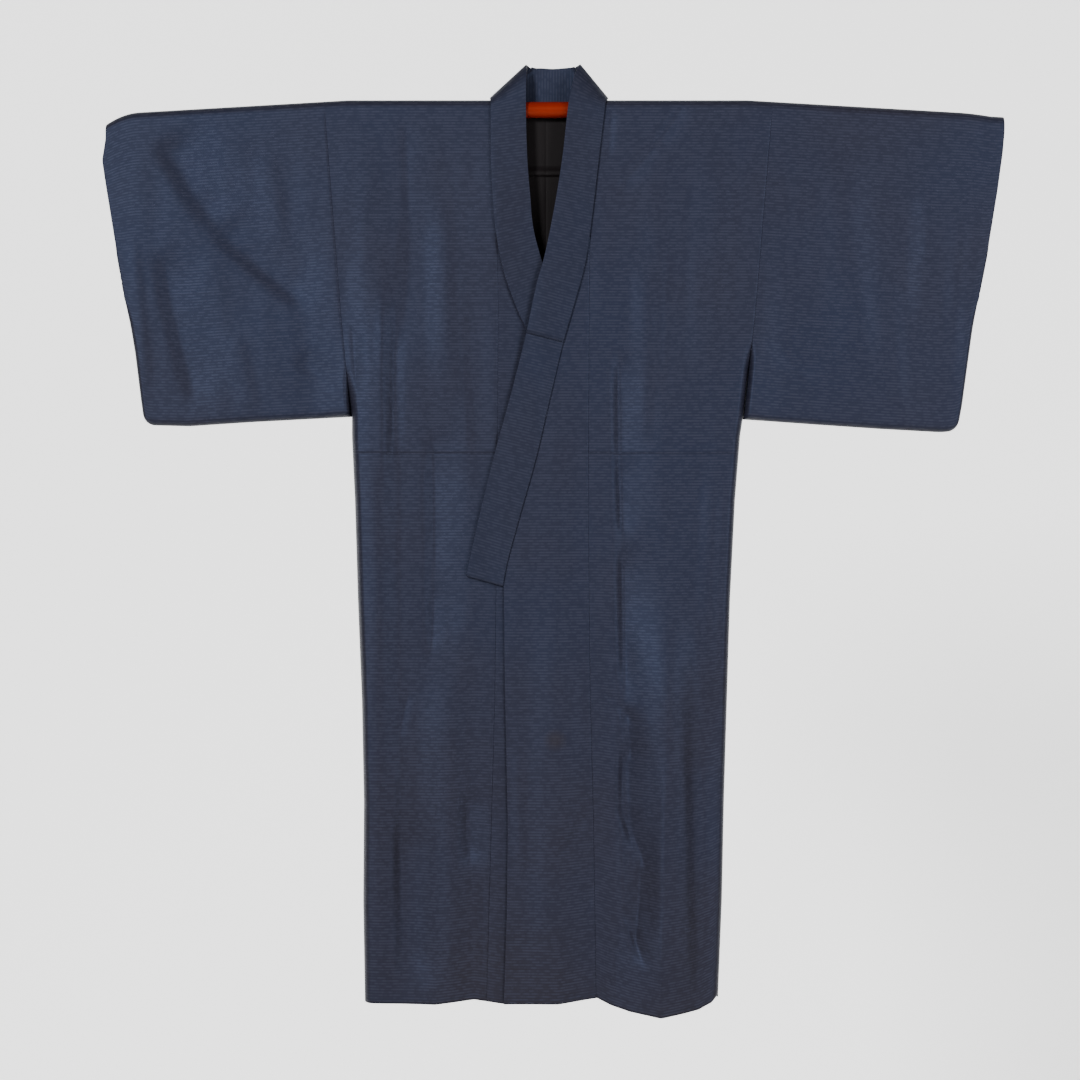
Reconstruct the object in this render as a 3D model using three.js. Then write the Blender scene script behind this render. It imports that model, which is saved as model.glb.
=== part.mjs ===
// Men's silk kimono hung by its sleeves on a round kimono rod.
// Millimetres, +Z up. The origin is the middle of the rod's axis, the front faces -Y
// and the wearer's left side is at +X.
import * as THREE from 'three';

// Cloth
const CLOTH_WALL = 1.4;
const COLLAR_WALL = 2.4;
const COVER_WALL = 1.2;
const LINING_WALL = 1.2;
const SEAM_GAP = 0.3;
const LAYER_GAP = 0.7;
const HIDDEN_LAP = 8;
const NECK_HALF_WIDTH = 86;

// Rod
const ROD_RADIUS = 12;
const ROD_HALF = 630;
const ROD_STRAIGHT_HALF = 300;
const ROD_DROOP = 0.058;
const ROD_ARM_START = 301;
const ROD_SIDES = 24;
const ROD_CLEARANCE = 0.9;

// Hanging depth of the cloth, front and back, measured from the rod's axis
const SHOULDER_RADIUS = ROD_RADIUS + ROD_CLEARANCE + CLOTH_WALL / 2;
const BODY_LENGTH = 1332;
const OVERLAP_LIFT = 3;
const OVERLAP_SINK = 8;
const OVER_SEAM_X = 68;
const LAYER_EASE = 78;
const SINK_TOP = -60;
const SINK_EASE = 150;
const SIDE_ROUNDING = 18;
const SLEEVE_ROUNDING = 14;
const SLEEVE_CORNER = 17;
const CUFF_OPENING = -275;
const LOOSE_TOP = -320;
const LOOSE_GAP = 5;

const SILK = { color: 0x36425c, roughness: 0.62, metalness: 0 };
const COLLAR_SILK = { color: 0x323b50, roughness: 0.62, metalness: 0 };
const DARK_LINING = { color: 0x1a181b, roughness: 0.8, metalness: 0 };
const ROD_LACQUER = { color: 0xa33a16, roughness: 0.35, metalness: 0 };

// Depth of the hanging cloth down the body
const hangingDepth = [
  { z: 0, front: 13.6, back: 13.6 },
  { z: -60, front: 14, back: 14 },
  { z: -150, front: 16, back: 15.5 },
  { z: -300, front: 19, back: 17.5 },
  { z: -600, front: 21, back: 19 },
  { z: -1000, front: 22, back: 20 },
  { z: -1400, front: 23, back: 21 },
];

// Depth of the hanging cloth down the sleeves
const sleeveDepth = [
  { z: 20, front: 13.6, back: 13.6 },
  { z: -60, front: 13.8, back: 13.8 },
  { z: -150, front: 15, back: 15 },
  { z: -500, front: 15, back: 15 },
];

// Folds that show from a step away: a positive depth stands out from the cloth
const frontFolds = [
  { x0: -259, z0: -250, x1: -252, z1: -1345, depth: 12, width: 42 },
  { x0: -182, z0: -495, x1: -180, z1: -807, depth: -5, width: 30 },
  { x0: -150, z0: -850, x1: -146, z1: -1345, depth: 6, width: 40 },
  { x0: -216, z0: -1060, x1: -208, z1: -1300, depth: -7, width: 34 },
  { x0: -121, z0: -1020, x1: -119, z1: -1130, depth: -5, width: 24 },
  { x0: 95, z0: -370, x1: 105, z1: -640, depth: -7, width: 30 },
  { x0: 105, z0: -640, x1: 113, z1: -930, depth: -8, width: 30 },
  { x0: 113, z0: -930, x1: 128, z1: -1230, depth: -11, width: 32 },
  { x0: 176, z0: -760, x1: 184, z1: -1365, depth: 18, width: 66 },
  { x0: 214, z0: -60, x1: 205, z1: -420, depth: 4, width: 38 },
  { x0: -204, z0: -160, x1: -212, z1: -360, depth: -4, width: 30 },
  { x0: 20, z0: -760, x1: 18, z1: -1345, depth: 4, width: 44 },
];

const backFolds = [
  { x0: -236, z0: -420, x1: -228, z1: -1345, depth: 12, width: 46 },
  { x0: -140, z0: -300, x1: -128, z1: -1345, depth: -6, width: 40 },
  { x0: -58, z0: -620, x1: -62, z1: -1345, depth: 8, width: 44 },
  { x0: 66, z0: -520, x1: 72, z1: -1345, depth: 9, width: 44 },
  { x0: 150, z0: -340, x1: 142, z1: -1345, depth: -7, width: 40 },
  { x0: 226, z0: -560, x1: 214, z1: -1345, depth: 13, width: 46 },
];

const sleeveFolds = [
  { x0: -576, z0: -33, x1: -500, z1: -160, depth: -5, width: 42 },
  { x0: -500, z0: -160, x1: -364, z1: -288, depth: -5, width: 42 },
  { x0: -577, z0: -204, x1: -526, z1: -423, depth: -5, width: 38 },
  { x0: 330, z0: -340, x1: 392, z1: -402, depth: -4, width: 26 },
  { x0: 566, z0: -110, x1: 556, z1: -300, depth: -4, width: 40 },
  { x0: 440, z0: -70, x1: 470, z1: -380, depth: 4, width: 50 },
];

// Armhole seams, then side seams, down the body
const bodySides = [
  { z: 20, right: -335, left: 337 },
  { z: -304, right: -309, left: 309.5 },
  { z: -460, right: -294, left: 292.5 },
  { z: -490, right: -294, left: 288 },
  { z: -585, right: -289.5, left: 280.5 },
  { z: -735, right: -285, left: 273 },
  { z: -885, right: -279, left: 268.5 },
  { z: -1035, right: -276, left: 264 },
  { z: -1185, right: -277, left: 261 },
  { z: -1335, right: -274.5, left: 255 },
];

// Seams between the body panels and the front overlap panels
const overlapSeams = [
  { z: -188, right: -75.5, left: 63 },
  { z: -304, right: -74, left: 61.5 },
  { z: -600, right: -76, left: 60 },
  { z: -870, right: -79, left: 63 },
  { z: -1065, right: -84, left: 68 },
  { z: -1335, right: -91.5, left: 72 },
];
const OVERLAP_TOP = -188;
const SEAM_EASE = 28;

// Front edges of the overlap panels below the collar
const overlapEdges = [
  { z: -700, right: 60, left: -66 },
  { z: -860, right: 62, left: -64.5 },
  { z: -1065, right: 64, left: -60 },
  { z: -1200, right: 64, left: -61.5 },
  { z: -1335, right: 62, left: -66 },
];

// Hem heights across the front
const hemLine = [
  { x: -276, z: -1334 },
  { x: -168, z: -1337 },
  { x: -110, z: -1329 },
  { x: -66, z: -1336 },
  { x: 16, z: -1336 },
  { x: 73, z: -1327 },
  { x: 94, z: -1338 },
  { x: 121, z: -1347 },
  { x: 168, z: -1356 },
  { x: 224, z: -1344 },
  { x: 243, z: -1334 },
  { x: 256, z: -1319 },
];

// Outer edges of the sleeves, cuff above and closed edge below
const sleeveEdges = [
  { z: -10, right: -661, left: 682 },
  { z: -45, right: -666, left: 679 },
  { z: -105, right: -658, left: 671 },
  { z: -210, right: -643, left: 655 },
  { z: -285, right: -631, left: 641 },
  { z: -360, right: -619, left: 631 },
  { z: -435, right: -610, left: 621 },
  { z: -480, right: -604, left: 613 },
];

// Bottom edges of the sleeves
const sleeveBottoms = [
  { x: -620, z: -472 },
  { x: -537, z: -474 },
  { x: -447, z: -468 },
  { x: -296, z: -460 },
  { x: 296, z: -464 },
  { x: 408, z: -472 },
  { x: 498, z: -478 },
  { x: 588, z: -483 },
  { x: 630, z: -480 },
];

// Front runs of the collar from the shoulder down: sewn edge and free edge
const leftCollar = [
  { sewnX: 84.5, sewnZ: -2, freeX: 31, freeZ: 10 },
  { sewnX: 75, sewnZ: -82, freeX: 21, freeZ: -76 },
  { sewnX: 66, sewnZ: -159, freeX: 9.8, freeZ: -146 },
  { sewnX: 55.5, sewnZ: -231, freeX: -4.8, freeZ: -219 },
  { sewnX: 42, sewnZ: -282, freeX: -17.5, freeZ: -266 },
  { sewnX: 22.5, sewnZ: -351, freeX: -32.5, freeZ: -337 },
  { sewnX: 0.8, sewnZ: -442.5, freeX: -55.5, freeZ: -429 },
  { sewnX: -18, sewnZ: -523.5, freeX: -77.5, freeZ: -509 },
  { sewnX: -44, sewnZ: -616, freeX: -100, freeZ: -600 },
  { sewnX: -61, sewnZ: -680, freeX: -114.5, freeZ: -664 },
  { sewnX: -67.5, sewnZ: -714, freeX: -122, freeZ: -699 },
];
const rightCollar = [
  { sewnX: -85.5, sewnZ: -2, freeX: -33, freeZ: 8 },
  { sewnX: -85, sewnZ: -80, freeX: -31, freeZ: -74 },
  { sewnX: -82, sewnZ: -140, freeX: -27, freeZ: -128 },
  { sewnX: -76.5, sewnZ: -195, freeX: -22, freeZ: -180 },
  { sewnX: -64, sewnZ: -253, freeX: -7, freeZ: -236 },
  { sewnX: -46, sewnZ: -302, freeX: 5.5, freeZ: -280 },
  { sewnX: -32, sewnZ: -333, freeX: 20, freeZ: -313 },
  { sewnX: 0, sewnZ: -420, freeX: 53, freeZ: -402 },
  { sewnX: 28, sewnZ: -512, freeX: 82, freeZ: -498 },
  { sewnX: 48, sewnZ: -610, freeX: 103, freeZ: -601 },
  { sewnX: 60, sewnZ: -706, freeX: 115.5, freeZ: -700 },
];

// The collar's two mitre folds and its run across the back of the neck
const neckCollar = [
  { sewnX: 85.5, sewnY: -13.8, sewnZ: 8, freeX: 36, freeY: -15, freeZ: 34 },
  { sewnX: 87, sewnY: -8, sewnZ: 13.8, freeX: 41.5, freeY: -9, freeZ: 56 },
  { sewnX: 88.5, sewnY: 0, sewnZ: 16, freeX: 46.5, freeY: 0, freeZ: 67 },
  { sewnX: 86.5, sewnY: 8.5, sewnZ: 14, freeX: 43, freeY: 9, freeZ: 67.5 },
  { sewnX: 79, sewnY: 14.5, sewnZ: 8, freeX: 34, freeY: 14.6, freeZ: 67 },
  { sewnX: 56, sewnY: 16.2, sewnZ: 5, freeX: 22, freeY: 16.2, freeZ: 66 },
  { sewnX: 0, sewnY: 16.4, sewnZ: 5, freeX: 7, freeY: 16.4, freeZ: 65 },
  { sewnX: -56, sewnY: 16.2, sewnZ: 5, freeX: -8, freeY: 16.2, freeZ: 66 },
  { sewnX: -78, sewnY: 14.5, sewnZ: 8, freeX: -19, freeY: 14.6, freeZ: 66 },
  { sewnX: -84, sewnY: 8.5, sewnZ: 14, freeX: -28, freeY: 9, freeZ: 66.5 },
  { sewnX: -85.5, sewnY: 0, sewnZ: 16, freeX: -31.5, freeY: 0, freeZ: 66 },
  { sewnX: -85.5, sewnY: -8, sewnZ: 13.8, freeX: -31.5, freeY: -9, freeZ: 54 },
  { sewnX: -85.5, sewnY: -13.8, sewnZ: 8, freeX: -32.5, freeY: -15, freeZ: 32 },
];

// Heights of the rows of the cloth grids: those of the armhole, the collar's run and the skirt
const armholeRows = [0, -40, -90, -130, -160, -188, -245, -304, -345, -385, -420];
const bodyFrontRows = [
  ...armholeRows, -450, -460, -490, -540, -600, -660, -735, -800, -870, -935, -1000, -1065, -1130, -1200, -1270,
  -BODY_LENGTH,
];
const bodyBackRows = [
  ...armholeRows, -450, -460, -490, -600, -735, -870, -1000, -1130, -1240, -BODY_LENGTH,
];
const SLEEVE_BOTTOM = { right: -460, left: -464 };

// Counts of rows and columns in the cloth grids
const BODY_COLUMNS = 11;
const ROUNDING_COLUMNS = 3;
const SHOULDER_ROWS = 6;
const SLEEVE_COLUMNS = 5;
const OVERLAP_COLUMNS = 6;
const COLLAR_COLUMNS = 3;
const COLLAR_STEPS = 2;
const LINING_COLUMNS = 6;

const mix = (a, b, t) => a + (b - a) * t;
const clamp = (t) => Math.min(1, Math.max(0, t));
const smooth = (t) => clamp(t) ** 2 * (3 - 2 * clamp(t));
const RIGHT_ANGLE = Math.PI / 2;
const spread = (from, to, count) => Array.from({ length: count + 1 }, (_, i) => mix(from, to, i / count));

// A value read from a table at a place between its rows
function readTable(table, key, at, column) {
  const descending = table[0][key] > table[table.length - 1][key];
  const rows = descending ? [...table].reverse() : table;
  if (at <= rows[0][key]) return rows[0][column];
  for (let i = 1; i < rows.length; i += 1) {
    if (at <= rows[i][key]) {
      const t = (at - rows[i - 1][key]) / (rows[i][key] - rows[i - 1][key]);
      return mix(rows[i - 1][column], rows[i][column], t);
    }
  }
  return rows[rows.length - 1][column];
}

// The sum of soft folds at a point: each is a ridge or trough along a line that fades at its ends
const FOLD_FADE = 0.3;
function foldDepth(folds, x, z) {
  let sum = 0;
  for (const fold of folds) {
    const dx = fold.x1 - fold.x0;
    const dz = fold.z1 - fold.z0;
    const length = Math.hypot(dx, dz);
    const along = ((x - fold.x0) * dx + (z - fold.z0) * dz) / length;
    const across = ((x - fold.x0) * dz - (z - fold.z0) * dx) / length;
    const side = Math.max(0, 1 - (across / fold.width) ** 2) ** 2;
    const fade = Math.max(fold.width, length * FOLD_FADE);
    const start = smooth(along / fade + FOLD_FADE);
    const end = smooth((length - along) / fade + FOLD_FADE);
    sum += fold.depth * side * start * end;
  }
  return sum;
}

const rodDroop = (x) => -ROD_DROOP * Math.max(0, Math.abs(x) - ROD_STRAIGHT_HALF);

// Depth of the fronts and the back before the layers are set apart
const frontDepth = (x, z) => readTable(hangingDepth, 'z', z, 'front') + foldDepth(frontFolds, x, z);
const backDepth = (x, z) => readTable(hangingDepth, 'z', z, 'back') + foldDepth(backFolds, x, z);
const overDepth = (x, z) => frontDepth(x, z) + OVERLAP_LIFT * smooth((OVER_SEAM_X - x) / LAYER_EASE);
const underDepth = (x, z) => (
  frontDepth(x, z) - OVERLAP_SINK * smooth((x + LAYER_EASE) / LAYER_EASE) * smooth((SINK_TOP - z) / SINK_EASE)
);

const collarRise = CLOTH_WALL / 2 + LAYER_GAP + COLLAR_WALL / 2;
const overCollarDepth = (x, z) => overDepth(x, z) + collarRise;
const underCollarDepth = (x, z) => underDepth(x, z) + collarRise;

// A wall of cloth about a surface that is given as a function of two values
// (its edges curl, so the direction of the wall there is taken a little inside the edge)
function clothWall(across, down, place, wall) {
  const STEP = 1e-4;
  const INSIDE = 0.05;
  const keepIn = (value, list) => Math.min(list[list.length - 1] - INSIDE, Math.max(list[0] + INSIDE, value));
  const positions = [];
  const columns = across.length;
  for (const v of down) {
    for (const u of across) {
      const nearU = keepIn(u, across);
      const nearV = keepIn(v, down);
      const alongU = place(nearU + STEP, nearV).sub(place(nearU - STEP, nearV));
      const alongV = place(nearU, nearV + STEP).sub(place(nearU, nearV - STEP));
      const normal = alongU.cross(alongV).normalize().multiplyScalar(wall / 2);
      const middle = place(u, v);
      positions.push(...middle.clone().add(normal).toArray());
      positions.push(...middle.clone().sub(normal).toArray());
    }
  }
  return closedGrid(positions, columns, down.length);
}

// The faces of a wall: two skins and the rim that joins them
function closedGrid(positions, columns, rows) {
  const faces = [];
  const outer = (i, j) => 2 * (i * columns + j);
  const inner = (i, j) => outer(i, j) + 1;
  const quad = (a, b, c, d) => faces.push(a, b, c, a, c, d);
  for (let i = 0; i < rows - 1; i += 1) {
    for (let j = 0; j < columns - 1; j += 1) {
      quad(outer(i, j), outer(i, j + 1), outer(i + 1, j + 1), outer(i + 1, j));
      quad(inner(i, j), inner(i + 1, j), inner(i + 1, j + 1), inner(i, j + 1));
    }
  }
  const rim = (i0, j0, i1, j1) => quad(outer(i1, j1), outer(i0, j0), inner(i0, j0), inner(i1, j1));
  for (let j = 0; j < columns - 1; j += 1) {
    rim(0, j, 0, j + 1);
    rim(rows - 1, j + 1, rows - 1, j);
  }
  for (let i = 0; i < rows - 1; i += 1) {
    rim(i, columns - 1, i + 1, columns - 1);
    rim(i + 1, 0, i, 0);
  }
  const geometry = new THREE.BufferGeometry();
  geometry.setAttribute('position', new THREE.Float32BufferAttribute(positions, 3));
  geometry.setIndex(faces);
  geometry.computeVertexNormals();
  return geometry;
}

function piece(name, geometry, finish) {
  const mesh = new THREE.Mesh(geometry, new THREE.MeshStandardMaterial(finish));
  mesh.name = name;
  return mesh;
}

// How far the front and back edges have closed on each other below the armhole
const armholeShut = {
  right: (z) => smooth((-385 - z) / 75),
  left: (z) => smooth((-304 - z) / 41),
};

// A closed edge curls round, so the cloth's middle stays half a wall inside its outline
const edgeInset = (shut) => CLOTH_WALL / 2 * clamp(20 * shut);

// Inner edge of a body panel: at the front it follows the collar, then the overlap seam
function bodyFrontInner(side, z) {
  const sign = side === 'left' ? 1 : -1;
  const collar = side === 'left' ? leftCollar : rightCollar;
  const neck = readTable(collar, 'sewnZ', z, 'sewnX') - sign * HIDDEN_LAP;
  const seam = readTable(overlapSeams, 'z', z, side) + sign * SEAM_GAP / 2;
  return mix(neck, seam, clamp((OVERLAP_TOP + SEAM_EASE - z) / SEAM_EASE));
}

// The front run and the back run of a body width, which part along the top of the shoulder
const SHOULDER_PART = SEAM_GAP / (Math.PI * SHOULDER_RADIUS);
const bodyBackRun = [
  ...bodyBackRows.map((z) => z / BODY_LENGTH - 1).reverse(),
  ...spread(-1, -SHOULDER_PART, SHOULDER_ROWS / 2).slice(1),
];
const bodyFrontRun = [
  ...spread(SHOULDER_PART, 1, SHOULDER_ROWS / 2).slice(0, -1),
  ...bodyFrontRows.map((z) => 1 - z / BODY_LENGTH),
];

// The front or the back run of one loom width of the body
function bodyPanel(side, down) {
  const sign = side === 'left' ? 1 : -1;
  const neckEdge = sign * (NECK_HALF_WIDTH - HIDDEN_LAP);
  const across = [...spread(0, 1, BODY_COLUMNS), ...spread(1, 2, ROUNDING_COLUMNS).slice(1)];
  const place = (u, v) => {
    const fall = Math.max(0, Math.abs(v) - 1);
    const flatZ = -fall * BODY_LENGTH;
    const shut = armholeShut[side](flatZ);
    const edge = readTable(bodySides, 'z', flatZ, side) - sign * (SEAM_GAP / 2 + edgeInset(shut));
    let inner = v >= 0 ? bodyFrontInner(side, flatZ) : sign * SEAM_GAP / 2;
    if (Math.abs(v) < 1) inner = v > -1 / 3 ? neckEdge : mix(neckEdge, sign * SEAM_GAP / 2, clamp(-3 * v - 1));
    const turn = Math.max(0, u - 1) * RIGHT_ANGLE;
    const roundStart = edge - sign * SIDE_ROUNDING;
    const x = u <= 1 ? mix(inner, roundStart, u) : roundStart + sign * SIDE_ROUNDING * Math.sin(turn);
    if (Math.abs(v) < 1) {
      const angle = v * RIGHT_ANGLE;
      return new THREE.Vector3(
        x,
        -SHOULDER_RADIUS * Math.sin(angle),
        rodDroop(x) + SHOULDER_RADIUS * Math.cos(angle),
      );
    }
    const hem = v > 0 ? readTable(hemLine, 'x', x, 'z') : -BODY_LENGTH + 2;
    const droop = rodDroop(x) * clamp(1 - flatZ / SLEEVE_BOTTOM[side]);
    const z = flatZ + droop + (hem + BODY_LENGTH) * fall ** 4;
    const open = v > 0 ? frontDepth(x, flatZ) : backDepth(x, flatZ);
    const half = SEAM_GAP / 2;
    const depth = half + (open - half) * mix(1, Math.cos(turn), shut);
    return new THREE.Vector3(x, v > 0 ? -depth : depth, z);
  };
  return clothWall(across, down, place, CLOTH_WALL);
}

// A sleeve: one loom width folded over the rod, with its bottom and lower edges closed
function sleeve(side) {
  const sign = side === 'left' ? 1 : -1;
  const across = [
    ...spread(-1, 0, ROUNDING_COLUMNS),
    ...spread(0, 1, SLEEVE_COLUMNS).slice(1),
    ...spread(1, 2, ROUNDING_COLUMNS).slice(1),
  ];
  const straight = SLEEVE_BOTTOM[side] + SLEEVE_ROUNDING;
  const hanging = [
    ...armholeRows.map((z) => 1 + z / straight),
    ...spread(2, 3, ROUNDING_COLUMNS),
  ];
  const down = [
    ...hanging.map((v) => -v).reverse(),
    ...spread(-1, 1, SHOULDER_ROWS).slice(1, -1),
    ...hanging,
  ];
  const place = (u, v) => {
    const fall = Math.max(0, Math.min(1, Math.abs(v) - 1));
    const bottomTurn = Math.max(0, Math.abs(v) - 2) * RIGHT_ANGLE;
    const guideZ = mix(0, straight, fall) - SLEEVE_ROUNDING * Math.sin(bottomTurn);
    const loose = side === 'left' ? LOOSE_GAP * smooth((LOOSE_TOP - guideZ) / 60) : 0;
    const innerShut = armholeShut[side](guideZ);
    const outerShut = smooth((CUFF_OPENING - guideZ) / 50);
    const inner = readTable(bodySides, 'z', guideZ, side) + sign * (SEAM_GAP / 2 + loose + edgeInset(innerShut));
    const outer = readTable(sleeveEdges, 'z', guideZ, side) - sign * edgeInset(outerShut);
    const innerTurn = Math.max(0, -u) * RIGHT_ANGLE;
    const outerTurn = Math.max(0, u - 1) * RIGHT_ANGLE;
    let x = mix(inner + sign * SLEEVE_ROUNDING, outer - sign * SLEEVE_ROUNDING, clamp(u));
    if (u < 0) x -= sign * SLEEVE_ROUNDING * Math.sin(innerTurn);
    if (u > 1) x += sign * SLEEVE_ROUNDING * Math.sin(outerTurn);
    if (Math.abs(v) < 1) {
      const angle = v * RIGHT_ANGLE;
      return new THREE.Vector3(
        x,
        -SHOULDER_RADIUS * Math.sin(angle),
        rodDroop(x) + SHOULDER_RADIUS * Math.cos(angle),
      );
    }
    const corner = SLEEVE_CORNER * (1 - Math.sqrt(1 - clamp(1 - Math.abs(outer - x) / SLEEVE_CORNER) ** 2));
    const bottom = readTable(sleeveBottoms, 'x', x, 'z') + corner;
    const share = guideZ / SLEEVE_BOTTOM[side];
    const z = guideZ + rodDroop(x) * (1 - share) + (bottom - SLEEVE_BOTTOM[side]) * share;
    const column = v > 0 ? 'front' : 'back';
    const open = readTable(sleeveDepth, 'z', guideZ, column) + (v > 0 ? 1 : -0.6) * foldDepth(sleeveFolds, x, guideZ);
    const seamDepth = readTable(hangingDepth, 'z', guideZ, column);
    const meet = smooth(1 - Math.abs(x - inner) / 60);
    const rounding = mix(1, Math.cos(outerTurn), outerShut) * mix(1, Math.cos(innerTurn), innerShut);
    const half = SEAM_GAP / 2;
    const depth = half + (mix(open, seamDepth, meet) - half) * rounding * Math.cos(bottomTurn);
    return new THREE.Vector3(x, v > 0 ? -depth : depth, z);
  };
  return clothWall(across, down, place, CLOTH_WALL);
}

// A front overlap panel, from the collar and its own front edge out to the body panel
function overlapPanel(side) {
  const sign = side === 'left' ? 1 : -1;
  const collar = side === 'left' ? leftCollar : rightCollar;
  const collarEnd = collar[collar.length - 1].sewnZ;
  const depthOf = side === 'left' ? overDepth : underDepth;
  const down = [OVERLAP_TOP - SEAM_GAP, ...bodyFrontRows.filter((z) => z < OVERLAP_TOP)].map((z) => -z);
  const place = (u, v) => {
    const flatZ = -v;
    const outer = readTable(overlapSeams, 'z', flatZ, side) - sign * SEAM_GAP / 2;
    const neck = readTable(collar, 'sewnZ', flatZ, 'sewnX') - sign * HIDDEN_LAP;
    const edge = readTable(overlapEdges, 'z', flatZ, side);
    const inner = mix(neck, edge, clamp((collarEnd - flatZ) / 10 + 1));
    const x = mix(inner, outer, u);
    const fall = -flatZ / BODY_LENGTH;
    const z = flatZ + (readTable(hemLine, 'x', x, 'z') + BODY_LENGTH) * fall ** 4;
    return new THREE.Vector3(x, -depthOf(x, flatZ), z);
  };
  return clothWall(spread(0, 1, OVERLAP_COLUMNS), down, place, CLOTH_WALL);
}

// The collar strip as pairs of edge points, from the left end round the neck to the right end
function collarRows() {
  const frontRow = (depthOf) => (row) => ({
    sewn: new THREE.Vector3(row.sewnX, -depthOf(row.sewnX, row.sewnZ), row.sewnZ),
    free: new THREE.Vector3(row.freeX, -depthOf(row.freeX, row.freeZ), row.freeZ),
    depthOf,
  });
  const neckRow = (row) => ({
    sewn: new THREE.Vector3(row.sewnX, row.sewnY, row.sewnZ),
    free: new THREE.Vector3(row.freeX, row.freeY, row.freeZ),
  });
  const left = leftCollar.map(frontRow(overCollarDepth)).reverse();
  const right = rightCollar.map(frontRow(underCollarDepth));
  return [...left, ...neckCollar.map(neckRow), ...right];
}

// A stretch of the collar or its cover, a distance out from the sewn layer
function collarStrip(stretch, rise, wall) {
  const rows = collarRows();
  const sewn = new THREE.CatmullRomCurve3(rows.map((row) => row.sewn), false, 'centripetal');
  const free = new THREE.CatmullRomCurve3(rows.map((row) => row.free), false, 'centripetal');
  const surface = (u, v) => {
    const at = clamp(v / (rows.length - 1));
    const point = sewn.getPoint(at).lerp(free.getPoint(at), u);
    const before = rows[Math.floor(Math.min(v, rows.length - 1))];
    const after = rows[Math.ceil(Math.min(v, rows.length - 1))];
    if (before.depthOf && after.depthOf) point.y = -before.depthOf(point.x, point.z);
    return point;
  };
  const STEP = 1e-3;
  const place = (u, v) => {
    const alongU = surface(Math.min(1, u + STEP), v).sub(surface(Math.max(0, u - STEP), v));
    const lowV = Math.max(0, v - STEP);
    const highV = Math.min(rows.length - 1, v + STEP);
    const alongV = surface(u, highV).sub(surface(u, lowV));
    const outward = alongV.cross(alongU).normalize();
    return surface(u, v).addScaledVector(outward, rise);
  };
  const steps = Math.round((stretch.to - stretch.from) * COLLAR_STEPS);
  const down = spread(stretch.from, stretch.to, steps);
  return clothWall(spread(0, 1, COLLAR_COLUMNS), down, place, wall);
}

// The back lining where it shows in the neck opening, with its tuck
function backLining() {
  const HALF_WIDTH = 118;
  const tuckRows = [
    { z: -7, lip: 0 },
    { z: -40, lip: 0 },
    { z: -78, lip: 0.6 },
    { z: -95, lip: 3 },
    { z: -97, lip: 0 },
    { z: -170, lip: 0 },
    { z: -240, lip: 0 },
    { z: -300, lip: 0 },
  ];
  const down = tuckRows.map((row) => row.z).reverse();
  const inset = CLOTH_WALL / 2 + SEAM_GAP + LINING_WALL / 2;
  const place = (u, z) => {
    const x = mix(-HALF_WIDTH, HALF_WIDTH, u);
    return new THREE.Vector3(x, backDepth(x, z) - inset - readTable(tuckRows, 'z', z, 'lip'), z);
  };
  return clothWall(spread(0, 1, LINING_COLUMNS), down, place, LINING_WALL);
}

// The rod between two places along its length: its middle is straight and its arms droop in the sleeves
function rod(from, to) {
  const circle = new THREE.Shape();
  circle.absarc(0, 0, ROD_RADIUS, 0, 2 * Math.PI, false);
  return new THREE.ExtrudeGeometry(circle, {
    steps: 1,
    curveSegments: ROD_SIDES / 2,
    bevelEnabled: false,
    extrudePath: new THREE.LineCurve3(
      new THREE.Vector3(from, 0, rodDroop(from)),
      new THREE.Vector3(to, 0, rodDroop(to)),
    ),
  });
}

// The stretches of the collar by its rows, each a hair's breadth from the next:
// the cover lies on all but the two ends
const collarStretches = [
  { name: 'left_end', from: 0, to: 4.998, covered: false },
  { name: 'left_front', from: 5.002, to: 10.485, covered: true },
  { name: 'left_turn', from: 10.515, to: 14.985, covered: true },
  { name: 'back', from: 15.015, to: 18.985, covered: true },
  { name: 'right_turn', from: 19.015, to: 23.485, covered: true },
  { name: 'right_front', from: 23.515, to: 28.998, covered: true },
  { name: 'right_end', from: 29.002, to: 34, covered: false },
];
const coverRise = COLLAR_WALL / 2 + SEAM_GAP + COVER_WALL / 2;
const covered = collarStretches.filter((stretch) => stretch.covered);

const group = new THREE.Group();
group.add(
  piece('rod_middle', rod(-ROD_STRAIGHT_HALF, ROD_STRAIGHT_HALF), ROD_LACQUER),
  piece('rod_arm_right', rod(-ROD_ARM_START, -ROD_HALF), ROD_LACQUER),
  piece('rod_arm_left', rod(ROD_ARM_START, ROD_HALF), ROD_LACQUER),
  piece('body_right_front', bodyPanel('right', bodyFrontRun), SILK),
  piece('body_right_back', bodyPanel('right', bodyBackRun), SILK),
  piece('body_left_front', bodyPanel('left', bodyFrontRun), SILK),
  piece('body_left_back', bodyPanel('left', bodyBackRun), SILK),
  piece('sleeve_right', sleeve('right'), SILK),
  piece('sleeve_left', sleeve('left'), SILK),
  piece('okumi_right', overlapPanel('right'), SILK),
  piece('okumi_left', overlapPanel('left'), SILK),
  ...collarStretches.map((stretch) => (
    piece(`collar_${stretch.name}`, collarStrip(stretch, 0, COLLAR_WALL), COLLAR_SILK)
  )),
  ...covered.map((stretch) => (
    piece(`collar_cover_${stretch.name}`, collarStrip(stretch, coverRise, COVER_WALL), COLLAR_SILK)
  )),
  piece('back_lining', backLining(), DARK_LINING),
);

export default group;
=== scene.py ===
# Men's navy silk kimono hung by its shoulders and sleeves on a lacquered rod.
# The garment's own frame: metres, +Z up, the front at -Y, the wearer's left at +X.
# Tables of sizes below are in millimetres, as a maker measures cloth.
import math

import bmesh
import bpy
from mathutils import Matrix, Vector, noise


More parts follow.
